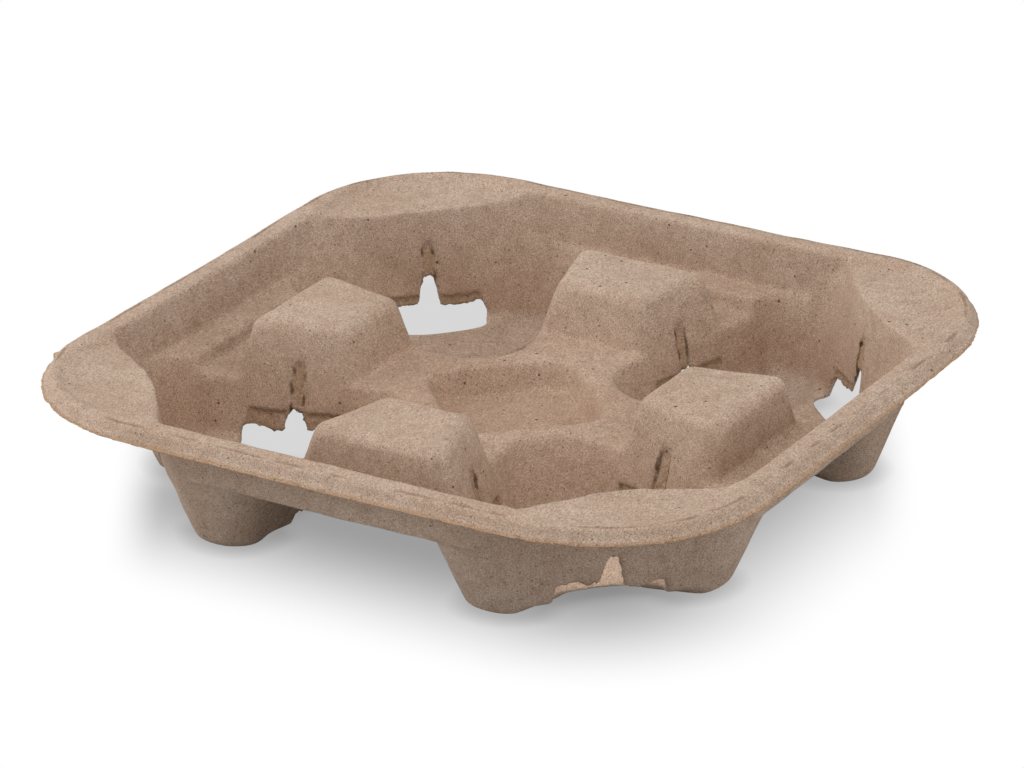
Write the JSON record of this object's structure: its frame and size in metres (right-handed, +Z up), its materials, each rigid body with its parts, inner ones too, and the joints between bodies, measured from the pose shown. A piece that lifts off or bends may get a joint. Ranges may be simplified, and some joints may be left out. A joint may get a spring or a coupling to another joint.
{
  "type": "moulded pulp cup carrier tray",
  "caption": "Square moulded pulp cup carrier: rounded wells with T-shaped cuts, raised pads between them, a recess in the middle and a rim with a turned-down edge.",
  "frame": {"origin": "on the surface it stands on, under the middle of the tray", "axes": "+Z up; X and Y along the tray's sides, which are alike"},
  "size_m": [0.215, 0.215, 0.0395],
  "materials": {
    "pulp": "rough, fibrous, matt"
  },
  "bodies": {
    "root": {"carrier_tray": "pulp"}
  },
  "joints": []
}
